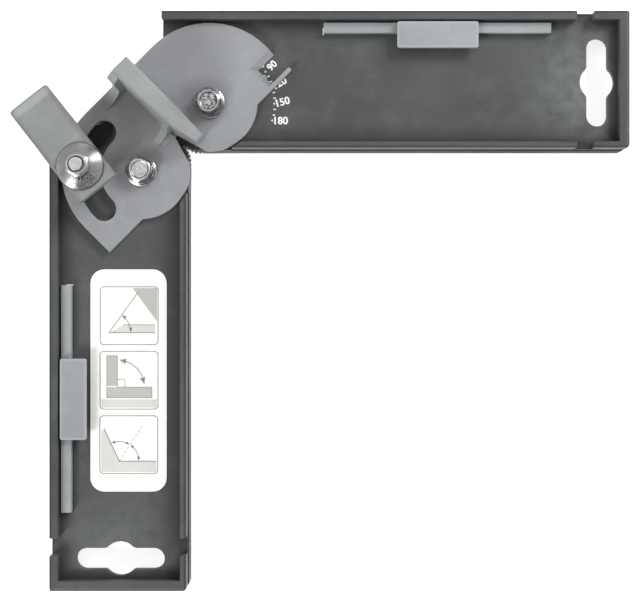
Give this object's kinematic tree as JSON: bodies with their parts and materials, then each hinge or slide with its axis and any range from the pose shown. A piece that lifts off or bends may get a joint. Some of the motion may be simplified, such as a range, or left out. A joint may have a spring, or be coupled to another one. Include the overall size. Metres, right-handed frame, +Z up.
{
  "type": "angle finder with arms",
  "caption": "Hinged angle finder: flat tray-shaped arms geared together under a link plate with a raised bisecting fence and a lever clamp.",
  "frame": {"origin": "middle of the outer box with the arms at a right angle, on the surface that the tool lies on", "axes": "+Z up from the surface the tool lies on, +X along arm A away from its pivot, -Y along arm B away from its pivot"},
  "size_m": [0.2288, 0.2166, 0.0392],
  "materials": {
    "arm_plastic": "fine moulded texture, dark grey",
    "link_plastic": "fine moulded texture, mid grey",
    "lever_plastic": "fine moulded texture, mid grey",
    "stop_plastic": "fine moulded texture, light grey",
    "zinc_steel": "bright zinc plating, lightly worn",
    "label_paper": "printed white film, satin"
  },
  "bodies": {
    "link": {"link_plate": "link_plastic", "pivot_screw_a": "zinc_steel", "pivot_bush_a": "zinc_steel", "pivot_washer_a": "zinc_steel", "pivot_nut_a": "zinc_steel", "pivot_screw_b": "zinc_steel", "pivot_bush_b": "zinc_steel", "pivot_washer_b": "zinc_steel", "pivot_nut_b": "zinc_steel"},
    "arm_a": {"arm_a": "arm_plastic"},
    "arm_b": {"arm_b": "arm_plastic", "instruction_label": "label_paper", "clamp_screw": "zinc_steel", "clamp_screw_washer": "zinc_steel", "clamp_lock_nut": "zinc_steel"},
    "clamp": {"clamp_collar": "lever_plastic", "clamp_dome_washer": "zinc_steel"},
    "lever": {"clamp_lever": "lever_plastic"},
    "stop_a": {"edge_stop_a": "stop_plastic"},
    "stop_b": {"edge_stop_b": "stop_plastic"}
  },
  "joints": [
    {"name": "arm_a_hinge", "type": "hinge", "parent": "link", "child": "arm_a", "pos_m": [-0.04283, 0.07433, 0], "axis": [0, 0, 1], "range_deg": [-45, 45]},
    {"name": "arm_b_hinge", "type": "hinge", "parent": "link", "child": "arm_b", "pos_m": [-0.06829, 0.04887, 0], "axis": [0, 0, 1], "range_deg": [-45, 45]},
    {"name": "clamp_heading", "type": "hinge", "parent": "arm_b", "child": "clamp", "pos_m": [-0.08829, 0.04887, 0], "axis": [0, 0, 1], "range_deg": [-45, 45]},
    {"name": "clamp_lever_turn", "type": "hinge", "parent": "clamp", "child": "lever", "pos_m": [-0.08829, 0.04887, 0], "axis": [0, 0, 1], "range_deg": [0, 100]},
    {"name": "edge_stop_a_slide", "type": "slide", "parent": "arm_a", "child": "stop_a", "axis": [0, 0, 1], "range_m": [-0.0035, 0]},
    {"name": "edge_stop_b_slide", "type": "slide", "parent": "arm_b", "child": "stop_b", "axis": [0, 0, 1], "range_m": [-0.0035, 0]}
  ],
  "couplings": [
    {"joint": "arm_b_hinge", "follows": "arm_a_hinge", "ratio": -1},
    {"joint": "clamp_heading", "follows": "arm_a_hinge", "ratio": 1}
  ]
}
